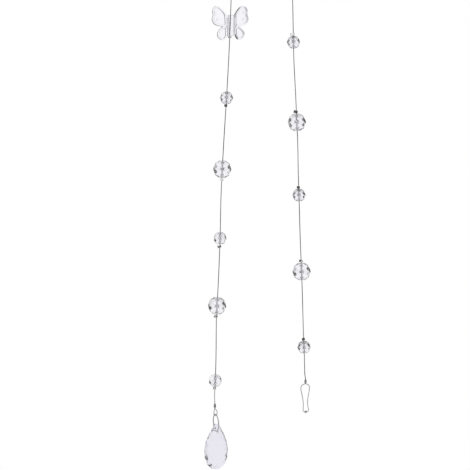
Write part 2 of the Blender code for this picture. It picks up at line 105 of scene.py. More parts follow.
# Their colours. Each drifts between the two that are given.
BEAD_TINTS = ((0.92, 0.915, 0.95), (0.89, 0.885, 0.93))
PRISM_TINTS = ((0.83, 0.82, 0.88), (0.80, 0.785, 0.86))
WING_TINTS = ((0.94, 0.935, 0.97), (0.91, 0.905, 0.95))
# The line's painted shade, from light grey to near black, standing in for dark surroundings seen
# through it.
LINE_PAINTED_SHADES = ((0.42, 0.42, 0.42), (0.04, 0.04, 0.04))
# A near-black painted into the beads' glass near their upper rims: a painted reflection of dark
# surroundings.
PAINTED_RIM_DARK = (0.02, 0.02, 0.02)
# A near-black painted on the butterfly's slanted walls as painted shade.
WALL_PAINTED_SHADE = (0.004, 0.004, 0.005)

# How far out from the body, in mm, the painted shade on the wings' walls starts and then gets lighter.
WALL_START = (2.6, 2.9)
WALL_LIGHTER = (6.5, 7.5)

# Flattened tube crimps. The press is how much thinner they are in their middle, the spread is
# how much of that goes into their width, and the painted sheen is how bright they are painted
# as a rule, as a painted reflection.
GAP = 0.3 * MM
CRIMP_BORE = 0.66 * MM
CRIMP_THICK = 1.9 * MM
CRIMP_HEIGHT = 2.0 * MM
CRIMP_BEVEL = 0.22 * MM
CRIMP_PRESS = 0.12
CRIMP_SPREAD = 0.25
CRIMP_PAINTED_SHEEN = 0.2

# The butterfly bead: its place and turn on the line, its bore, its body tube, and the thin web
# that joins the wings to the tube.
BUTTERFLY_DEPTH = 47.2 * MM
BUTTERFLY_SHIFT = 0.45 * MM
BUTTERFLY_LEAN = math.radians(1.2)
BUTTERFLY_TURN = math.radians(9.0)
BUTTERFLY_BORE = 0.5 * MM
DRILL_SIDES = 24.0
BODY_RADIUS = 2.5 * MM
BODY_TOP = 7.2 * MM
BODY_BOTTOM = 9.7 * MM
WEB_HALF = 3.8 * MM
WEB_TOP = 4.8 * MM
WEB_BOTTOM = 8.0 * MM
WEB_THICK = 1.2 * MM

# Its wings: their tilt in the picture, how far they fold back, and the spots on the upper pair.
# The grain is the finest detail that the moulding keeps.
WING_TILT = math.radians(-3.2)
WING_FOLD = math.radians(9.0)
WING_STEP = 0.5 * MM
UPPER_WING_THICK = 3.2 * MM
LOWER_WING_THICK = 2.8 * MM
WING_SPOT_RADIUS = 0.9 * MM
WING_SPOT_HEIGHT = 0.4 * MM
WING_GRAIN = 0.16 * MM

# The crimp below it.
BUTTERFLY_CRIMP_WIDTH = 2.6 * MM
BUTTERFLY_CRIMP_HEIGHT = 1.2 * MM

# The end loop, its crimp, the wire ring that it carries, and how far ring and prism are turned.
END_CRIMP = Vector((-37.6, 0.0, -352.6)) * MM
END_CRIMP_HEIGHT = 2.6 * MM
END_LOOP_SLACK = 0.38 * MM
END_LOOP_SHOULDER = 2.4 * MM
RING_TOP = Vector((-37.1, 0.0, -359.4)) * MM
RING_RADIUS = 6.85 * MM
RING_WIRE = 0.45 * MM
RING_LEAN = math.radians(3.4)
RING_DOWN = Vector((math.sin(RING_LEAN), 0.0, -math.cos(RING_LEAN)))
RING_SLIT_ANGLE = math.radians(63.0)
RING_SLIT = 0.35 * MM
RING_STEPS = 120
RING_SIDES = 20.0
TURN = math.radians(18.5)

# The teardrop prism, hanging from the ring and turned with it.
DROP_LEAN = math.radians(1.6)
DROP_THICK = 7.4 * MM
DROP_STEP_THICK = 6.2 * MM
DROP_NECK_THICK = 5.4 * MM
DROP_RIM_THICK = 1.6 * MM
DROP_HOLE_RADIUS = 1.4 * MM
DROP_HOLE_DEPTH = 6.1 * MM
DROP_HOLE_SAG = 0.1 * MM

# The hanging loop at the other end of the line.
LOOP_CRIMP = Vector((34.9, 0.0, -333.0)) * MM
LOOP_CRIMP_WIDTH = 1.75 * MM
LOOP_CRIMP_HEIGHT = 2.2 * MM
LOOP_TIP = Vector((35.1, 0.0, -357.5)) * MM
# The heights over which the line's painted shade fades out onto the hanging loop.
LOOP_FADE = (-336.0 * MM, -334.0 * MM)
TIP_CRIMP_RADIUS = 0.98 * MM
TIP_CRIMP_LENGTH = 1.8 * MM

# A place on a run of line: how far below the hanging point, and its X, in mm.
Place = namedtuple("Place", "depth across")
LEFT_RUN = (
    Place(28.0, -24.6),
    Place(60.0, -25.8),
    Place(98.4, -27.8),
    Place(133.6, -30.0),
    Place(156.0, -31.3),
    Place(188.0, -32.8),
    Place(210.4, -33.2),
    Place(239.2, -34.2),
    Place(264.8, -35.4),
    Place(284.0, -36.4),
    Place(306.4, -36.6),
    Place(325.6, -37.0),
    Place(345.0, -37.9),
)
RIGHT_RUN = (
    Place(28.0, 24.6),
    Place(47.2, 25.0),
    Place(76.0, 25.6),
    Place(101.6, 26.9),
    Place(140.0, 28.6),
    Place(165.6, 29.1),
    Place(191.2, 29.9),
    Place(216.8, 30.6),
    Place(252.0, 32.0),
    Place(271.2, 32.6),
    Place(293.6, 33.2),
    Place(312.8, 34.0),
    Place(327.0, 34.3),
)

# The two sides of the hanging loop at each depth, in mm.
Sides = namedtuple("Sides", "depth left right")
HANGING_LOOP = (
    Sides(336.4, 31.9, 37.7),
    Sides(339.2, 31.2, 38.0),
    Sides(342.4, 31.8, 37.5),
    Sides(346.4, 32.6, 36.8),
    Sides(350.4, 33.1, 36.5),
    Sides(353.6, 33.1, 36.9),
    Sides(356.2, 33.0, 37.5),
)

# A bead and its crimp: the bead's turn in degrees and how strong its painted dark reflection
# near the upper rim is, from 0 to 1; the crimp's width and sideways shift in mm, its tilt in
# degrees, and how bright it is painted, as a painted reflection.
Bead = namedtuple("Bead", "size depth turn smoke crimp_width crimp_shift crimp_tilt crimp_polish")
LEFT_BEADS = (
    Bead(SMALL, 106.3, 20.0, 0.6, 2.4, -0.2, 0.0, 0.0),
    Bead(LARGE, 163.4, 22.5, 0.1, 2.8, -0.1, 8.0, 0.7),
    Bead(SMALL, 218.6, 14.0, 0.3, 3.0, -0.4, -20.0, 0.3),
    Bead(LARGE, 272.6, 21.0, 0.3, 3.2, -0.6, -10.0, 0.45),
    Bead(SMALL, 332.4, 8.0, 0.1, 2.4, -0.3, 0.0, 0.5),
)
RIGHT_BEADS = (
    Bead(SMALL, 61.8, 22.5, 0.8, 3.6, -0.7, -6.0, 1.0),
    Bead(LARGE, 125.9, 17.0, 0.45, 3.3, -0.6, 14.0, 0.1),
    Bead(SMALL, 184.1, 18.0, 0.9, 2.5, -0.3, 0.0, 0.1),
    Bead(LARGE, 245.2, 20.0, 0.0, 3.0, -0.2, 10.0, 0.4),
    Bead(SMALL, 305.7, 24.0, 0.9, 2.5, -0.2, -8.0, 0.1),
)

# Points of one wing's outline, out from the body's middle and up from the bead's middle, in mm.
Edge = namedtuple("Edge", "out up")
UPPER_WING = (
    Edge(3.0, 5.4),
    Edge(3.2, 7.6),
    Edge(4.4, 9.8),
    Edge(6.7, 12.6),
    Edge(9.0, 14.4),
    Edge(11.3, 14.9),
    Edge(13.4, 13.8),
    Edge(14.6, 11.2),
    Edge(14.4, 7.6),
    Edge(15.2, 4.2),
    Edge(14.5, 1.4),
    Edge(12.6, -0.6),
    Edge(10.2, -1.5),
    Edge(7.6, -2.1),
    Edge(5.0, -2.4),
    Edge(3.6, -1.7),
    Edge(2.9, -0.2),
)
LOWER_WING = (
    Edge(2.9, -3.2),
    Edge(3.7, -1.8),
    Edge(5.4, -1.3),
    Edge(8.0, -2.5),
    Edge(10.2, -4.6),
    Edge(11.4, -7.6),
    Edge(10.8, -10.6),
    Edge(8.4, -12.6),
    Edge(5.6, -12.6),
    Edge(3.8, -11.2),
    Edge(3.0, -9.4),
    Edge(2.9, -7.8),
)
WING_SPOTS = (
    Edge(11.6, 9.4),
    Edge(10.6, 3.8),
)

# A wing's face from its edge inward: a slanted wall, a flat rim, and a slope down to the middle.
Step = namedtuple("Step", "inward outward")
WING_WALL = Step(0.7 * MM, 1.2 * MM)
WING_RIM = Step(0.7 * MM, 0.0)
WING_SLOPE = Step(0.4 * MM, -0.6 * MM)

# The prism's outline: how far below its tip, and half its width there, in mm.
Outline = namedtuple("Outline", "below half")
DROP_RIM = (
    Outline(0.0, 1.5),
    Outline(3.6, 3.4),
    Outline(8.4, 6.2),
    Outline(14.2, 8.6),
    Outline(20.6, 9.8),
    Outline(27.0, 9.3),
    Outline(32.8, 6.9),
    Outline(36.2, 2.6),
)
DROP_STEP = (
    Outline(8.2, 3.4),
    Outline(11.8, 5.9),
    Outline(16.0, 7.6),
    Outline(20.6, 8.3),
    Outline(25.8, 7.2),
    Outline(29.6, 4.8),
    Outline(32.0, 1.8),
)
DROP_NECK = (
    Outline(6.4, 1.0),
)
DROP_TABLE = (
    Outline(10.4, 1.0),
    Outline(12.0, 3.4),
    Outline(16.2, 6.2),
    Outline(20.6, 7.1),
    Outline(24.6, 5.4),
    Outline(27.4, 3.6),
    Outline(29.0, 1.4),
)


class Value:
    """A number in a node tree that takes part in Python arithmetic."""

    def __init__(self, graph, socket):
        self.graph = graph
        self.socket = socket

    def math(self, operation, first, second=0.0):
        settings = {"operation": operation}
        return self.graph.value("ShaderNodeMath", settings, {0: first, 1: second})

    def __add__(self, other):
        return self.math("ADD", self, other)

    def __radd__(self, other):
        return self.math("ADD", other, self)

    def __sub__(self, other):
        return self.math("SUBTRACT", self, other)

    def __rsub__(self, other):
        return self.math("SUBTRACT", other, self)

    def __mul__(self, other):
        return self.math("MULTIPLY", self, other)

    def __rmul__(self, other):
        return self.math("MULTIPLY", other, self)

    def __truediv__(self, other):
        return self.math("DIVIDE", self, other)

    def __abs__(self):
        return self.math("ABSOLUTE", self)

    def __pow__(self, other):
        return self.math("POWER", self, other)

    def at_least(self, other):
        return self.math("MAXIMUM", self, other)

    def rise(self, low, high):
        """0 below low and 1 above high, with a soft step between."""
        links = {"Value": self, "From Min": low, "From Max": high}
        return self.graph.value("ShaderNodeMapRange", {"interpolation_type": "SMOOTHSTEP"}, links)


class Graph:
    """A node tree that is being built."""

    def __init__(self, tree):
        self.tree = tree

    def feed(self, socket, value):
        """Link a socket to a value, or set it to a number, colour or vector."""
        if isinstance(value, Value):
            value = value.socket
        if isinstance(value, bpy.types.NodeSocket):
            self.tree.links.new(value, socket)
        else:
            socket.default_value = value

    def node(self, kind, settings=None, links=None):
        """A new node, its settings made first and its sockets then fed."""
        made = self.tree.nodes.new(kind)
        for name, value in (settings or {}).items():
            setattr(made, name, value)
        for name, value in (links or {}).items():
            self.feed(made.inputs[name], value)
        return made

    def output(self, kind, settings=None, links=None, name=0):
        """One output of a new node."""
        return self.node(kind, settings, links).outputs[name]

    def value(self, kind, settings=None, links=None, name=0):
        """One output of a new node, ready for arithmetic."""
        return Value(self, self.output(kind, settings, links, name))

    def mix(self, factor, first, second):
        """A colour between two colours, each of them three numbers or a link."""
        node = self.node("ShaderNodeMix", {"data_type": "RGBA"})
        self.feed(node.inputs[0], factor)
        for number, colour in ((6, first), (7, second)):
            self.feed(node.inputs[number], (*colour, 1.0) if isinstance(colour, tuple) else colour)
        return node.outputs[2]

    def parts(self, vector):
        """The X, Y and Z of a vector."""
        node = self.node("ShaderNodeSeparateXYZ", {}, {0: vector})
        return [Value(self, socket) for socket in node.outputs]

    def noise(self, where, scale, detail=2.0):
        """Soft noise from 0 to 1 at a place."""
        links = {"Vector": where, "Scale": scale, "Detail": detail}
        return self.value("ShaderNodeTexNoise", {}, links)


SOCKETS = {
    float: "NodeSocketFloat",
    Vector: "NodeSocketVector",
    bpy.types.Material: "NodeSocketMaterial",
}


def in_scene(name, data):
    """A new object in the scene."""
    made = bpy.data.objects.new(name, data)
    bpy.context.scene.collection.objects.link(made)
    return made


def add_modifiers(piece, modifiers):
    """Add modifiers to an object, with their settings."""
    for kind, settings in modifiers:
        step = piece.modifiers.new(kind, kind)
        for key, value in settings.items():
            setattr(step, key, value)


class Recipe(Graph):
    """A Geometry Nodes tree with named inputs and one geometry output."""

    def __init__(self, name, inputs):
        super().__init__(bpy.data.node_groups.new(name, "GeometryNodeTree"))
        interface = self.tree.interface
        interface.new_socket("Geometry", in_out="INPUT", socket_type="NodeSocketGeometry")
        self.keys = {}
        for title, kind in inputs.items():
            socket = interface.new_socket(title, in_out="INPUT", socket_type=SOCKETS[kind])
            self.keys[title] = socket.identifier
        interface.new_socket("Geometry", in_out="OUTPUT", socket_type="NodeSocketGeometry")
        self.given = self.tree.nodes.new("NodeGroupInput")

    def input(self, title):
        """A named input of the tree, as a value."""
        return Value(self, self.given.outputs[title])

    def marked(self, geometry, name, value, domain="POINT"):
        """The geometry with a value kept under a name for its material."""
        settings = {"data_type": "FLOAT", "domain": domain}
        links = {"Geometry": geometry, "Name": name, "Value": value}
        return self.output("GeometryNodeStoreNamedAttribute", settings, links)

    def end(self, geometry):
        """Realize what was made, give it its material, and hand it out."""
        real = self.output("GeometryNodeRealizeInstances", {}, {"Geometry": geometry})
        links = {"Geometry": real, "Material": self.input("Material")}
        done = self.output("GeometryNodeSetMaterial", {}, links)
        self.node("NodeGroupOutput", {}, {"Geometry": done})

    def make(self, name, sizes, base=None, finish=()):
        """A plain mesh from the tree with the given sizes, and from the modifiers that finish it."""
        carrier = base or bpy.data.objects.new(name, bpy.data.meshes.new(name))
        bpy.context.scene.collection.objects.link(carrier)
        modifier = carrier.modifiers.new("recipe", "NODES")
        modifier.node_group = self.tree
        for title, value in sizes.items():
            modifier[self.keys[title]] = value
        add_modifiers(carrier, finish)
        return plain_mesh(carrier, name)


def plain_mesh(carrier, name):
    """The finished mesh of an object, which is then removed."""
    depsgraph = bpy.context.evaluated_depsgraph_get()
    mesh = bpy.data.meshes.new_from_object(carrier.evaluated_get(depsgraph), depsgraph=depsgraph)
    mesh.transform(carrier.matrix_world)
    mesh.name = name
    bpy.data.objects.remove(carrier, do_unlink=True)
    return mesh


def mesh_of(bm, name):
    """The mesh of a shape that was built from points and faces."""
    mesh = bpy.data.meshes.new(name)
    bm.to_mesh(mesh)
    bm.free()
    return mesh


def show(name, mesh, slot, *nodes):
    """Add a finished piece that stands for CAD nodes, and hide those nodes. The slot is not used."""
    piece = in_scene(name, mesh)
    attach(piece, "root")
    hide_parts(*nodes)


def material(name):
    """A new material's tree, its place on the piece, and its Principled shader."""
    made = bpy.data.materials.new(name)
    made.use_nodes = True
    graph = Graph(made.node_tree)
    where = graph.output("ShaderNodeTexCoord", name="Object")
    return made, graph, where, made.node_tree.nodes["Principled BSDF"]


def bump(graph, shader, height, distance, strength):
    """Raise a surface by a height from 0 to 1."""
    links = {"Height": height, "Distance": distance, "Strength": strength}
    graph.feed(shader.inputs["Normal"], graph.output("ShaderNodeBump", {}, links))


def attribute(graph, name):
    """A value that was kept under a name on the mesh."""
    return graph.value("ShaderNodeAttribute", {"attribute_name": name}, {}, "Fac")


def clear_material(name, index, ripple):
    """A clear solid with faint ripples in its polish."""
    made, graph, where, shader = material(name)
    shader.inputs["Transmission Weight"].default_value = 1.0
    shader.inputs["IOR"].default_value = index
    bump(graph, shader, graph.noise(where, RIPPLE_SCALE), RIPPLE_DEPTH, ripple)
    return made, graph, where, shader


def tint(graph, where, colours):
    """A clear tint that drifts a little between two colours."""
    return graph.mix(graph.noise(where, TINT_SCALE), *colours)


def haze(graph, where, roughest):
    """A faint haze, in patches."""
    return roughest * graph.noise(where, HAZE_SCALE).rise(0.35, 0.75)


def prism_material():
    """Clear polished glass."""
    made, graph, where, shader = clear_material("prism_glass", GLASS_INDEX, 0.05)
    graph.feed(shader.inputs["Base Color"], tint(graph, where, PRISM_TINTS))
    graph.feed(shader.inputs["Roughness"], haze(graph, where, 0.02))
    return made


def bead_material():
    """Clear glass with a matt bore, and in some beads a painted dark reflection near the rim of the
    upper half.
    """
    made, graph, where, shader = clear_material("bead_glass", GLASS_INDEX, 0.05)
    glance = graph.value("ShaderNodeLayerWeight", {}, {"Blend": 0.5}, "Facing").rise(0.12, 0.3)
    upper = attribute(graph, "up").rise(-0.2, 0.2)
    reflection_patches = graph.noise(where, 330.0, 3.0).rise(0.45, 0.6)
    # Painted dark reflection: near the rim, in the upper half, in patches, as strong as each bead's
    # value.
    smoke = attribute(graph, "smoke") * (glance * upper * (0.5 + reflection_patches * 0.5))
    matt = attribute(graph, "bore") * BORE_MATT
    graph.feed(shader.inputs["Base Color"], graph.mix(smoke, tint(graph, where, BEAD_TINTS), PAINTED_RIM_DARK))
    graph.feed(shader.inputs["Roughness"], haze(graph, where, 0.1) + matt)
    return made


def wing_material():
    """Clear acrylic whose slanted walls carry painted shade in patches, most of all on the left."""
    made, graph, where, shader = clear_material("wing_acrylic", ACRYLIC_INDEX, 0.3)
    x, y, _ = graph.parts(graph.output("ShaderNodeTexCoord", name="Normal"))
    wall = (1 - abs(y)).rise(0.1, 0.25)
    left = (0.0 - x).rise(0.0, 0.3)
    patches = graph.noise(where, 180.0).rise(0.35, 0.65)
    out = attribute(graph, "out")
    near = 1 - out.rise(*WALL_LIGHTER)
    strength = 0.5 + patches * 0.1 + near * 0.35
    # Painted shade on the slanted walls, darkest on walls facing left and near the body.
    painted_shade = wall * out.rise(*WALL_START) * (0.05 + left * strength)
    clear = tint(graph, where, WING_TINTS)
    graph.feed(shader.inputs["Base Color"], graph.mix(painted_shade, clear, WALL_PAINTED_SHADE))
    graph.feed(shader.inputs["Roughness"], haze(graph, where, 0.06))
    return made


def line_material():
    """Clear nylon with painted shade, grey in patches, and less of it on the hanging loop."""
    made, graph, where, shader = clear_material("clear_nylon", NYLON_INDEX, 0.3)
    above_loop = graph.parts(where)[2].rise(*LOOP_FADE)
    patches = graph.noise(where, 45.0, 3.0).rise(0.3, 0.7)
    # Painted shade: darker in patches and above the hanging loop.
    painted_shade = patches * 0.35 + above_loop * 0.65
    graph.feed(shader.inputs["Base Color"], graph.mix(painted_shade, *LINE_PAINTED_SHADES))
    graph.feed(shader.inputs["Roughness"], 0.1 + patches * 0.15)
    return made


def metal_material(name, bright, dull, smooth, rough):
    """Plated metal with duller worn patches and fine scratches, painted brighter the higher its painted
    sheen, as a painted reflection.
    """
    made, graph, where, shader = material(name)
    patches = graph.noise(where, 700.0, 3.0) - attribute(graph, "polish") * 0.6
    # A low sheen value paints the piece dark as painted shade, a high one bright as a painted
    # reflection; the noise adds duller worn patches.
    wear_and_shade = (patches + 0.3).rise(0.4, 0.65)
    graph.feed(shader.inputs["Base Color"], graph.mix(wear_and_shade, bright, dull))
    graph.feed(shader.inputs["Roughness"], smooth + wear_and_shade * (rough - smooth))
    shader.inputs["Metallic"].default_value = 1.0
    bump(graph, shader, graph.noise(where, 2500.0, 4.0), 0.03 * MM, 0.3)
    return made


BEAD_GLASS = bead_material()
PRISM_GLASS = prism_material()
WING_ACRYLIC = wing_material()
CLEAR_NYLON = line_material()
CRIMP_METAL = metal_material("crimp_metal", (0.82, 0.81, 0.80), (0.10, 0.10, 0.10), 0.22, 0.45)
RING_METAL = metal_material("ring_metal", (0.55, 0.55, 0.57), (0.42, 0.42, 0.43), 0.15, 0.3)


def smooth_path(points, step):
    """Points about one step apart on a smooth curve through the given points."""
    ends = [points[0] * 2 - points[1]] + list(points) + [points[-1] * 2 - points[-2]]
    path = [points[0]]
    for before, start, stop, after in zip(ends, ends[1:], ends[2:], ends[3:]):
        count = max(1, round((stop - start).length / step))
        for i in range(1, count + 1):
            t = i / count
            even = 2 * start + (before * -1 + stop) * t
            bend = (2 * before - 5 * start + 4 * stop - after) * t * t
            twist = (before * -1 + 3 * start - 3 * stop + after) * t * t * t
            path.append((even + bend + twist) / 2)
    return path


def run_points(run):
    """The places of one run, from the top down."""
    return [Vector((place.across * MM, 0.0, -place.depth * MM)) for place in run]


def arch_points():
    """The half circle in which the line is folded, from the left run to the right one."""
    points = []
    for i in range(1, ARCH_STEPS):
        angle = math.pi * (1 - i / ARCH_STEPS)
        out = ARCH_RADIUS * math.cos(angle)
        up = ARCH_RADIUS * (math.sin(angle) - 1)
        points.append(Vector((out, 0.0, up)))
    return points


def doubled_run(crimp, height, side):
    """The line's straight way through a crimp that holds two runs of it, from the top down."""
    middle = crimp + Vector((0.0, side * RUN_SPREAD, 0.0))
    half = Vector((0.0, 0.0, height / 2))
    reach = Vector((0.0, 0.0, height / 2 + STRAIGHT))
    return [middle + reach, middle + half, middle - half, middle - reach]


def end_loop():
    """The small loop that carries the ring, from the cut tail round to the main run."""
    tail = doubled_run(END_CRIMP, END_CRIMP_HEIGHT, 1)
    tail[0] = tail[0] + Vector((0.0, 0.0, TAIL))
    main = doubled_run(END_CRIMP, END_CRIMP_HEIGHT, -1)
    turn = RING_WIRE + LINE_RADIUS + END_LOOP_SLACK
    shoulder = Vector((0.0, 0.0, END_LOOP_SHOULDER))
    right = Vector((turn, 0.0, 0.0))
    points = tail + [RING_TOP + right + shoulder]
    for i in range(LOOP_TURN_STEPS + 1):
        angle = -math.pi * i / LOOP_TURN_STEPS
        points.append(RING_TOP + Vector((turn * math.cos(angle), 0.0, turn * math.sin(angle))))
    points.append(RING_TOP - right + shoulder)
    return points + main[::-1]


def hanging_loop():
    """The long loop, from the main run round its tip to the cut tail."""
    main = doubled_run(LOOP_CRIMP, LOOP_CRIMP_HEIGHT, -1)
    tail = doubled_run(LOOP_CRIMP, LOOP_CRIMP_HEIGHT, 1)
    tail[0] = tail[0] + Vector((0.0, 0.0, TAIL))
    half = Vector((TIP_CRIMP_LENGTH / 2, 0.0, 0.0))
    reach = Vector((TIP_CRIMP_LENGTH / 2 + STRAIGHT, 0.0, 0.0))
    left = [Vector((row.left * MM, 0.0, -row.depth * MM)) for row in HANGING_LOOP]
    right = [Vector((row.right * MM, 0.0, -row.depth * MM)) for row in HANGING_LOOP]
    turn = [LOOP_TIP - reach, LOOP_TIP - half, LOOP_TIP + half, LOOP_TIP + reach]
    return main + left + turn + right[::-1] + tail[::-1]


def line_routes():
    """The smooth end loop, left run, arch, right run and hanging loop, in order."""
    left = run_points(LEFT_RUN)
    right = run_points(RIGHT_RUN)
    loop = end_loop()
    hanging = hanging_loop()
    legs = smooth_path([loop[-1]] + left[::-1] + arch_points() + right + [hanging[0]], RUN_STEP)
    return smooth_path(loop, LOOP_STEP), legs, smooth_path(hanging, LOOP_STEP)


def line_at(legs, depth, side):
    """Where the line is at a depth on the left (-1) or right (+1) run, and its lean there."""
    run = [point for point in legs if point.x * side > 0]
    run.sort(key=lambda point: point.z, reverse=True)
    for upper, lower in zip(run, run[1:]):
        if lower.z <= -depth <= upper.z:
            break
    share = (upper.z + depth) / (upper.z - lower.z)
    lean = math.atan2(upper.x - lower.x, upper.z - lower.z)
    return upper.lerp(lower, share), lean


def placed(recipe, geometry, turn=0.0):
    """Turn a threaded piece about its bore, lean it with the line, and set it on the line."""
    turned = recipe.node("ShaderNodeCombineXYZ", {}, {"Z": turn})
    leaned = recipe.node("ShaderNodeCombineXYZ", {}, {"Y": recipe.input("Lean")})
    first = {"Geometry": geometry, "Rotation": turned.outputs[0]}
    spun = recipe.output("GeometryNodeTransform", {}, first)
    second = {"Geometry": spun, "Rotation": leaned.outputs[0], "Translation": recipe.input("Place")}
    return recipe.output("GeometryNodeTransform", {}, second)


def wire_recipe():
    """A round wire or line along a curve, with closed ends."""
    recipe = Recipe("round wire", {"Radius": float, "Sides": float, "Material": bpy.types.Material})
    profile = recipe.output(
        "GeometryNodeCurvePrimitiveCircle",
        {"mode": "RADIUS"},
        {"Resolution": recipe.input("Sides"), "Radius": recipe.input("Radius")},
    )
    links = {"Curve": recipe.given.outputs["Geometry"], "Profile Curve": profile, "Fill Caps": True}
    tube = recipe.output("GeometryNodeCurveToMesh", {}, links)
    welded = recipe.output("GeometryNodeMergeByDistance", {}, {"Geometry": tube, "Distance": 0.01 * MM})
    recipe.end(welded)
    return recipe


def wire_path(name, points):
    """A curve object through the points."""
    curve = bpy.data.curves.new(name, "CURVE")
    curve.dimensions = "3D"
    spline = curve.splines.new("POLY")
    spline.points.add(len(points) - 1)
    for point, place in zip(spline.points, points):
        point.co = (*place, 1.0)
    return bpy.data.objects.new(name, curve)


def bead_latitudes():
    """Latitudes of the rings of corners at which every facet between them is flat."""
    half_step = math.pi / BEAD_SIDES
    latitudes = [0.0, half_step]
    while len(latitudes) < BEAD_RINGS:
        low, mid = latitudes[-2], latitudes[-1]
        start = Vector((math.cos(low), math.sin(low)))
        way = Vector((math.cos(mid) * math.cos(half_step), math.sin(mid))) - start
        reach = -2 * start.dot(way) / way.length_squared
        latitudes.append(math.asin((start + way * reach).y))
    return latitudes


def bead_half_height(size):
    """From a bead's middle to its flat end."""
    return size / 2 * math.sin(bead_latitudes()[-1])


def bead_recipe():
    """A cut bead: rings of corners, the hull round them, and a bore along the line."""
    numbers = ("Size", "Bore", "Turn", "Lean", "Smoke")
    sizes = {**{name: float for name in numbers}, "Place": Vector}
    recipe = Recipe("cut bead", {**sizes, "Material": bpy.types.Material})
    radius = recipe.input("Size") / 2
    corners = recipe.node("GeometryNodeJoinGeometry")
    for row, latitude in enumerate(bead_latitudes()):
        ring = recipe.output(
            "GeometryNodeMeshCircle",
            {},
            {"Vertices": BEAD_SIDES, "Radius": radius * math.cos(latitude)},
        )
        turn = (0.0, 0.0, math.pi / BEAD_SIDES * (row + 1))
        for sign in ((1, -1) if row else (1,)):
            up = recipe.node("ShaderNodeCombineXYZ", {}, {"Z": radius * (math.sin(latitude) * sign)})
            links = {"Geometry": ring, "Translation": up.outputs[0], "Rotation": turn}
            moved = recipe.output("GeometryNodeTransform", {}, links)
            recipe.feed(corners.inputs[0], moved)
    hull = recipe.output("GeometryNodeConvexHull", {}, {0: corners.outputs[0]})
    bead = ground_bore(recipe, bored(recipe, hull))
    up = recipe.parts(recipe.output("GeometryNodeInputPosition"))[2] / radius
    # Keep each point's height and the bead's strength of painted rim reflection for the glass.
    shaded = recipe.marked(recipe.marked(bead, "up", up), "smoke", recipe.input("Smoke"))
    recipe.end(placed(recipe, shaded, recipe.input("Turn")))
    return recipe


def bored(recipe, solid, spread=None):
    """Cut the bore for the line along Z out of a solid."""
    drill = recipe.output(
        "GeometryNodeMeshCylinder",
        {"fill_type": "NGON"},
        {"Vertices": BORE_SIDES, "Radius": recipe.input("Bore"), "Depth": 3 * LARGE},
    )
    if spread is not None:
        y = recipe.parts(recipe.output("GeometryNodeInputPosition"))[1]
        side = recipe.value("ShaderNodeMath", {"operation": "SIGN"}, {0: y})
        shift = recipe.node("ShaderNodeCombineXYZ", {}, {"Y": side * spread})
        links = {"Geometry": drill, "Offset": shift.outputs[0]}
        drill = recipe.output("GeometryNodeSetPosition", {}, links)
    cut = recipe.node("GeometryNodeMeshBoolean", {"operation": "DIFFERENCE", "solver": "EXACT"})
    recipe.feed(cut.inputs["Mesh 1"], solid)
    recipe.feed(cut.inputs["Mesh 2"], drill)
    return cut.outputs["Mesh"]


def ground_bore(recipe, solid):
    """Mark the wall of the bore, which is left ground and matt."""
    place = recipe.output("GeometryNodeInputPosition")
    x, y, _ = recipe.parts(place)
    facing = recipe.output("GeometryNodeInputNormal")
    level = 1 - abs(recipe.parts(facing)[2])
    out = (x * x + y * y) ** 0.5 / recipe.input("Bore")
    return recipe.marked(solid, "bore", level * (1 - out.rise(1.0, 1.1)), "FACE")


def crimp_recipe():
    """A short tube pressed flat in its middle, with a bore that stays in line with the strand."""
    sizes = ("Width", "Thick", "Height", "Shift", "Tilt", "Bore", "Spread", "Press", "Polish", "Lean")
    inputs = {**{name: float for name in sizes}, "Place": Vector, "Material": bpy.types.Material}
    recipe = Recipe("pressed crimp", inputs)
    tube = recipe.output(
        "GeometryNodeMeshCylinder",
        {"fill_type": "NGON"},
        {"Vertices": 32, "Side Segments": 10, "Radius": 0.5, "Depth": 1.0},
    )
    x, y, z = recipe.parts(recipe.output("GeometryNodeInputPosition"))
    press = recipe.input("Press")
    pressed = (1 - 4 * z * z) * press
    wider = 1 + CRIMP_SPREAD * pressed - CRIMP_SPREAD * press
    axes = {
        "X": x * recipe.input("Width") * wider,
        "Y": y * recipe.input("Thick") * (1 - pressed),
        "Z": z * recipe.input("Height"),
    }
    shaped = recipe.output("ShaderNodeCombineXYZ", {}, axes)
    formed = recipe.output("GeometryNodeSetPosition", {}, {"Geometry": tube, "Position": shaped})
    tilt = recipe.node("ShaderNodeCombineXYZ", {}, {"Y": recipe.input("Tilt")})
    shift = recipe.node("ShaderNodeCombineXYZ", {}, {"X": recipe.input("Shift")})
    links = {"Geometry": formed, "Rotation": tilt.outputs[0], "Translation": shift.outputs[0]}
    tilted = recipe.output("GeometryNodeTransform", {}, links)
    hollow = placed(recipe, bored(recipe, tilted, recipe.input("Spread")))
    # Keep the crimp's painted sheen, how bright its painted reflection is, for its metal.
    recipe.end(recipe.marked(hollow, "polish", recipe.input("Polish")))
    return recipe


def softened(width, angle, segments=2):
    """Modifiers that clear needless edges from flat faces and round the others."""
    return (
        ("DECIMATE", {"decimate_type": "DISSOLVE", "angle_limit": math.radians(1.0)}),
        (
            "BEVEL",
            {
                "width": width,
                "segments": segments,
                "limit_method": "ANGLE",
                "angle_limit": math.radians(angle),
            },
        ),
    )


def smooth_round(mesh, angle=40.0):
    """Smooth shading on round faces, with the sharp edges kept."""
    mesh.shade_smooth()
    mesh.set_sharp_from_angle(angle=math.radians(angle))


def make_line(routes):
    """The whole strand of line, round and clear."""
    loop, legs, hanging = routes
    path = wire_path("line", loop + legs[1:] + hanging[1:])
    sizes = {"Radius": LINE_RADIUS, "Sides": LINE_SIDES, "Material": CLEAR_NYLON}
    mesh = wire_recipe().make("clear_line", sizes, path)
    smooth_round(mesh, 60.0)
    show("clear_line", mesh, "clear_line", "line")


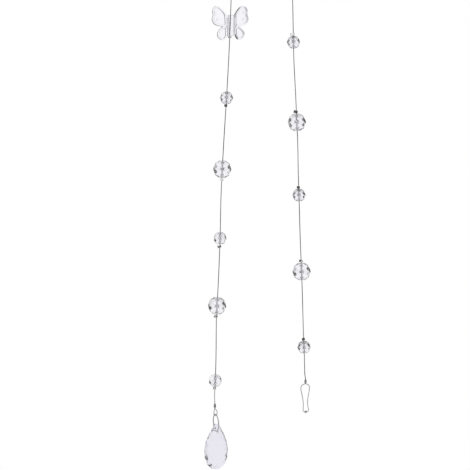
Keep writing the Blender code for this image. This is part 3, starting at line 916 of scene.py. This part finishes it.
def make_beads(legs):
    """Every cut bead on its run of line."""
    recipe = bead_recipe()
    for label, side, beads in (("left", -1, LEFT_BEADS), ("right", 1, RIGHT_BEADS)):
        for number, bead in enumerate(beads, 1):
            place, lean = line_at(legs, bead.depth * MM, side)
            sizes = {
                "Size": bead.size,
                "Bore": BEAD_BORE,
                "Turn": math.radians(bead.turn),
                "Smoke": bead.smoke,
                "Lean": lean,
                "Place": place,
                "Material": BEAD_GLASS,
            }
            name = f"{label}_cut_bead_{number}"
            mesh = recipe.make(name, sizes, finish=softened(EDGE_POLISH, 14.0, 1))
            show(name, mesh, "bead_glass", f"{label}_bead_{number}")


def crimp(recipe, name, node, place, lean=0.0, **sizes):
    """One pressed crimp in place of its node."""
    usual = {
        "Width": CRIMP_THICK,
        "Thick": CRIMP_THICK,
        "Height": CRIMP_HEIGHT,
        "Shift": 0.0,
        "Tilt": 0.0,
        "Bore": CRIMP_BORE,
        "Spread": 0.0,
        "Press": CRIMP_PRESS,
        "Polish": CRIMP_PAINTED_SHEEN,
        "Lean": lean,
        "Place": place,
        "Material": CRIMP_METAL,
    }
    mesh = recipe.make(name, {**usual, **sizes}, finish=softened(CRIMP_BEVEL, 50.0))
    smooth_round(mesh)
    show(name, mesh, "crimp_metal", node)


def make_crimps(legs):
    """The crimps below the left beads, above the right beads, and on the two loops."""
    recipe = crimp_recipe()
    for label, side, beads in (("left", -1, LEFT_BEADS), ("right", 1, RIGHT_BEADS)):
        for number, bead in enumerate(beads, 1):
            tilt = math.radians(bead.crimp_tilt)
            width = bead.crimp_width * MM
            reach = (CRIMP_HEIGHT * math.cos(tilt) + width * abs(math.sin(tilt))) / 2
            depth = bead.depth * MM - side * (bead_half_height(bead.size) + GAP + reach)
            place, lean = line_at(legs, depth, side)
            shift = bead.crimp_shift * MM
            sizes = {"Width": width, "Shift": shift, "Tilt": tilt, "Polish": bead.crimp_polish}
            name = f"{label}_pressed_crimp_{number}"
            crimp(recipe, name, f"{label}_crimp_{number}", place, lean, **sizes)
    depth = BUTTERFLY_DEPTH + BODY_BOTTOM + GAP + BUTTERFLY_CRIMP_HEIGHT / 2
    place, lean = line_at(legs, depth, -1)
    sizes = {"Width": BUTTERFLY_CRIMP_WIDTH, "Height": BUTTERFLY_CRIMP_HEIGHT, "Polish": 0.5}
    crimp(recipe, "butterfly_pressed_crimp", "left_crimp_0", place, lean, **sizes)
    deep = {"Width": LOOP_CRIMP_WIDTH, "Thick": CRIMP_THICK + 2 * RUN_SPREAD, "Spread": RUN_SPREAD}
    crimp(recipe, "end_loop_crimp", "end_crimp", END_CRIMP, Height=END_CRIMP_HEIGHT, **deep)
    crimp(recipe, "hanging_loop_crimp", "loop_crimp", LOOP_CRIMP, Height=LOOP_CRIMP_HEIGHT, **deep)
    across = 2 * TIP_CRIMP_RADIUS
    round_crimp = {
        "Width": across,
        "Thick": across,
        "Height": TIP_CRIMP_LENGTH,
        "Press": 0.0,
        "Polish": 0.35,
    }
    crimp(recipe, "tip_crimp", "loop_tip_crimp", LOOP_TIP, math.pi / 2, **round_crimp)


def make_ring():
    """The wire ring on the end loop, with the slit where its ends meet."""
    half_slit = RING_SLIT / 2 / RING_RADIUS
    sweep = 2 * math.pi - 2 * half_slit
    place = Matrix.Translation(RING_TOP + RING_DOWN * RING_RADIUS)
    turn = Matrix.Rotation(-RING_LEAN, 4, "Y") @ Matrix.Rotation(TURN, 4, "Z")
    points = []
    for i in range(RING_STEPS + 1):
        angle = RING_SLIT_ANGLE + half_slit + sweep * i / RING_STEPS
        flat = Vector((0.0, -math.sin(angle), math.cos(angle))) * RING_RADIUS
        points.append(place @ turn @ flat)
    sizes = {"Radius": RING_WIRE, "Sides": RING_SIDES, "Material": RING_METAL}
    mesh = wire_recipe().make("wire_ring", sizes, wire_path("wire_ring", points))
    smooth_round(mesh, 60.0)
    show("wire_ring", mesh, "ring_metal", "ring")


def add_rod(bm, radius, length, place):
    """Add a plain round rod along Z, centred on a place."""
    bmesh.ops.create_cone(
        bm,
        cap_ends=True,
        segments=BORE_SIDES,
        radius1=radius,
        radius2=radius,
        depth=length,
        matrix=place,
    )


def rim_path(edges, side, inside):
    """A smooth closed path round one wing, a given way inside its outline."""
    points = [Vector((side * edge.out * MM, 0.0, edge.up * MM)) for edge in edges]
    outline = smooth_path(points + points[:1], WING_STEP)[:-1]
    path = []
    for i, point in enumerate(outline):
        along = (outline[(i + 1) % len(outline)] - outline[i - 1]).normalized()
        path.append(point + Vector((-along.z, 0.0, along.x)) * (-side * inside))
    return path


def add_wing(bm, edges, side, thick):
    """Add one wing: a plate with slanted walls and a sunk middle on both faces."""
    inside = 0.0
    depth = thick / 2 - WING_WALL.outward
    section = [(inside, depth)]
    for step in (WING_WALL, WING_RIM, WING_SLOPE):
        inside += step.inward
        depth += step.outward
        section.append((inside, depth))
    fold = Matrix.Rotation(side * WING_FOLD, 3, "Z")
    loops = []
    for inside, depth in [(row[0], -row[1]) for row in section[::-1]] + section:
        path = rim_path(edges, side, inside)
        loops.append([bm.verts.new(fold @ (point + Vector((0.0, depth, 0.0)))) for point in path])
    bm.faces.new(loops[0])
    bm.faces.new(loops[-1][::-1])
    for front, back in zip(loops, loops[1:]):
        for i in range(len(front)):
            bm.faces.new((front[i - 1], back[i - 1], back[i], front[i]))


def butterfly_recipe():
    """A moulded butterfly, turned and set on the line."""
    sizes = {"Turn": float, "Lean": float, "Place": Vector}
    recipe = Recipe("moulded butterfly", {**sizes, "Material": bpy.types.Material})
    solid = recipe.given.outputs["Geometry"]
    across = recipe.parts(recipe.output("GeometryNodeInputPosition"))[0]
    marked = recipe.marked(solid, "out", abs(across) / MM)
    recipe.end(placed(recipe, marked, recipe.input("Turn")))
    return recipe


def wings_and_body():
    """The butterfly's wings, their spots, the web and the body tube, not yet run together."""
    bm = bmesh.new()
    for side in (-1, 1):
        add_wing(bm, UPPER_WING, side, UPPER_WING_THICK)
        add_wing(bm, LOWER_WING, side, LOWER_WING_THICK)
        fold = Matrix.Rotation(side * WING_FOLD, 4, "Z")
        for edge in WING_SPOTS:
            reach = UPPER_WING_THICK + 2 * (WING_SLOPE.outward + WING_SPOT_HEIGHT)
            place = fold @ Matrix.Translation((side * edge.out * MM, 0.0, edge.up * MM))
            add_rod(bm, WING_SPOT_RADIUS, reach, place @ Matrix.Rotation(math.pi / 2, 4, "X"))
    web = bmesh.ops.create_cube(bm, size=1.0)["verts"]
    bmesh.ops.scale(bm, vec=(2 * WEB_HALF, WEB_THICK, WEB_TOP + WEB_BOTTOM), verts=web)
    bmesh.ops.translate(bm, vec=(0.0, 0.0, (WEB_TOP - WEB_BOTTOM) / 2), verts=web)
    bmesh.ops.recalc_face_normals(bm, faces=bm.faces)
    tilt = Matrix.Rotation(WING_TILT, 3, "Y")
    bmesh.ops.rotate(bm, cent=(0.0, 0.0, 0.0), matrix=tilt, verts=bm.verts)
    middle = Matrix.Translation((0.0, 0.0, (BODY_TOP - BODY_BOTTOM) / 2))
    add_rod(bm, BODY_RADIUS, BODY_TOP + BODY_BOTTOM, middle)
    return mesh_of(bm, "butterfly")


def line_drill(legs):
    """A round drill that follows the line through the butterfly."""
    way = [point for point in legs if point.x < 0 and abs(point.z + BUTTERFLY_DEPTH) < 3 * LARGE]
    sizes = {"Radius": BUTTERFLY_BORE, "Sides": DRILL_SIDES, "Material": WING_ACRYLIC}
    return in_scene("drill", wire_recipe().make("drill", sizes, wire_path("drill", way)))


def make_butterfly(legs):
    """The butterfly: its parts run together and smoothed, set on the line, and bored."""
    together = (
        ("REMESH", {"mode": "VOXEL", "voxel_size": WING_GRAIN}),
        ("SMOOTH", {"factor": 0.5, "iterations": 3}),
    )
    loose = in_scene("butterfly", wings_and_body())
    add_modifiers(loose, together)
    base = bpy.data.objects.new("moulded_butterfly", plain_mesh(loose, "butterfly"))
    sizes = {
        "Turn": BUTTERFLY_TURN,
        "Lean": BUTTERFLY_LEAN,
        "Place": line_at(legs, BUTTERFLY_DEPTH, -1)[0] + Vector((BUTTERFLY_SHIFT, 0.0, 0.0)),
        "Material": WING_ACRYLIC,
    }
    drill = line_drill(legs)
    cut = ("BOOLEAN", {"object": drill, "operation": "DIFFERENCE", "solver": "EXACT"})
    mesh = butterfly_recipe().make("moulded_butterfly", sizes, base, (cut,))
    bpy.data.objects.remove(drill, do_unlink=True)
    smooth_round(mesh)
    show("moulded_butterfly", mesh, "butterfly_plastic", "butterfly")


def make_drop():
    """The teardrop prism: a table on each face, ringed by two rows of facets."""
    bm = bmesh.new()
    rings = (
        (DROP_RIM, DROP_RIM_THICK),
        (DROP_STEP, DROP_STEP_THICK),
        (DROP_NECK, DROP_NECK_THICK),
        (DROP_TABLE, DROP_THICK),
    )
    for outline, thick in rings:
        for row in outline:
            for side in (-1, 1):
                for front in (-thick / 2, thick / 2):
                    bm.verts.new((side * row.half * MM, front, DROP_HOLE_DEPTH - row.below * MM))
    bmesh.ops.convex_hull(bm, input=bm.verts)
    base = bpy.data.objects.new("cut_prism", mesh_of(bm, "drop"))
    recipe = Recipe("bored prism", {"Bore": float, "Material": bpy.types.Material})
    quarter = math.pi / 2
    forward = {"Geometry": recipe.given.outputs["Geometry"], "Rotation": (quarter, 0.0, 0.0)}
    across = recipe.output("GeometryNodeTransform", {}, forward)
    back = {"Geometry": bored(recipe, across), "Rotation": (-quarter, 0.0, 0.0)}
    recipe.end(recipe.output("GeometryNodeTransform", {}, back))
    place = RING_TOP + RING_DOWN * 2 * RING_RADIUS - Vector((0.0, 0.0, DROP_HOLE_SAG))
    sizes = {"Bore": DROP_HOLE_RADIUS, "Material": PRISM_GLASS}
    made = recipe.make("cut_prism", sizes, base, softened(EDGE_POLISH, 8.0))
    turn = Matrix.Rotation(DROP_LEAN, 4, "Y") @ Matrix.Rotation(TURN, 4, "Z")
    made.transform(Matrix.Translation(place) @ turn)
    show("cut_prism", made, "prism_glass", "drop")


def make_surroundings():
    """White all round to the camera, with dark panels at the sides for the glass to show."""
    world = bpy.data.worlds.new("studio")
    bpy.context.scene.world = world
    world.use_nodes = True
    graph = Graph(world.node_tree)
    world.node_tree.nodes.clear()
    x, y, z = graph.parts(graph.output("ShaderNodeTexCoord"))
    level = (x * x + y * y) ** 0.5
    aside = abs(x) / level.at_least(0.001)
    panel = aside.rise(*PANEL_INNER) * (1 - aside.rise(*PANEL_OUTER))
    height = z - x * PANEL_LEAN
    belt = height.rise(*PANEL_LOW) * (1 - height.rise(*PANEL_HIGH))
    light = 1 - PANEL_DEPTH * panel * belt
    seen = graph.value("ShaderNodeLightPath", name="Is Camera Ray")
    links = {"Color": WHITE, "Strength": light.at_least(seen)}
    surface = graph.output("ShaderNodeBackground", {}, links)
    graph.node("ShaderNodeOutputWorld", {}, {"Surface": surface})


def make_floor():
    """A wide pale floor below the strand, which fades into the white surroundings."""
    bm = bmesh.new()
    bmesh.ops.create_circle(bm, cap_ends=True, segments=96, radius=FLOOR_RADIUS)
    bmesh.ops.translate(bm, vec=(0.0, 0.0, FLOOR_LEVEL), verts=bm.verts)
    floor = in_scene("floor", mesh_of(bm, "floor"))
    floor.visible_transmission = False
    floor.visible_glossy = False
    made, graph, where, shader = material("pale_floor")
    away = graph.value("ShaderNodeVectorMath", {"operation": "LENGTH"}, {0: where}, "Value")
    shader.inputs["Base Color"].default_value = FLOOR_GREY
    shader.inputs["Roughness"].default_value = FLOOR_ROUGHNESS
    white = graph.output("ShaderNodeEmission", {}, {"Color": WHITE})
    lift = FLOOR_LIFT + (1 - FLOOR_LIFT) * away.rise(*FLOOR_FADE)
    links = {0: lift, 1: shader.outputs[0], 2: white}
    blend = graph.output("ShaderNodeMixShader", {}, links)
    graph.feed(made.node_tree.nodes["Material Output"].inputs["Surface"], blend)
    floor.data.materials.append(made)


def make_camera():
    """A long lens level with the photograph's middle."""
    camera = bpy.data.cameras.new("photo_camera")
    camera.lens = LENS
    camera.sensor_width = SENSOR
    holder = in_scene("photo_camera", camera)
    away = PHOTO_SIDE * PIXEL * LENS / SENSOR
    holder.location = PHOTO_MIDDLE - Vector((0.0, away, 0.0))
    holder.rotation_euler = (math.pi / 2, 0.0, 0.0)
    bpy.context.scene.camera = holder


make_camera()
make_surroundings()
make_floor()
bpy.context.scene.view_settings.view_transform = "Standard"

line_ways = line_routes()
make_line(line_ways)
make_beads(line_ways[1])
make_crimps(line_ways[1])
make_ring()
make_butterfly(line_ways[1])
make_drop()
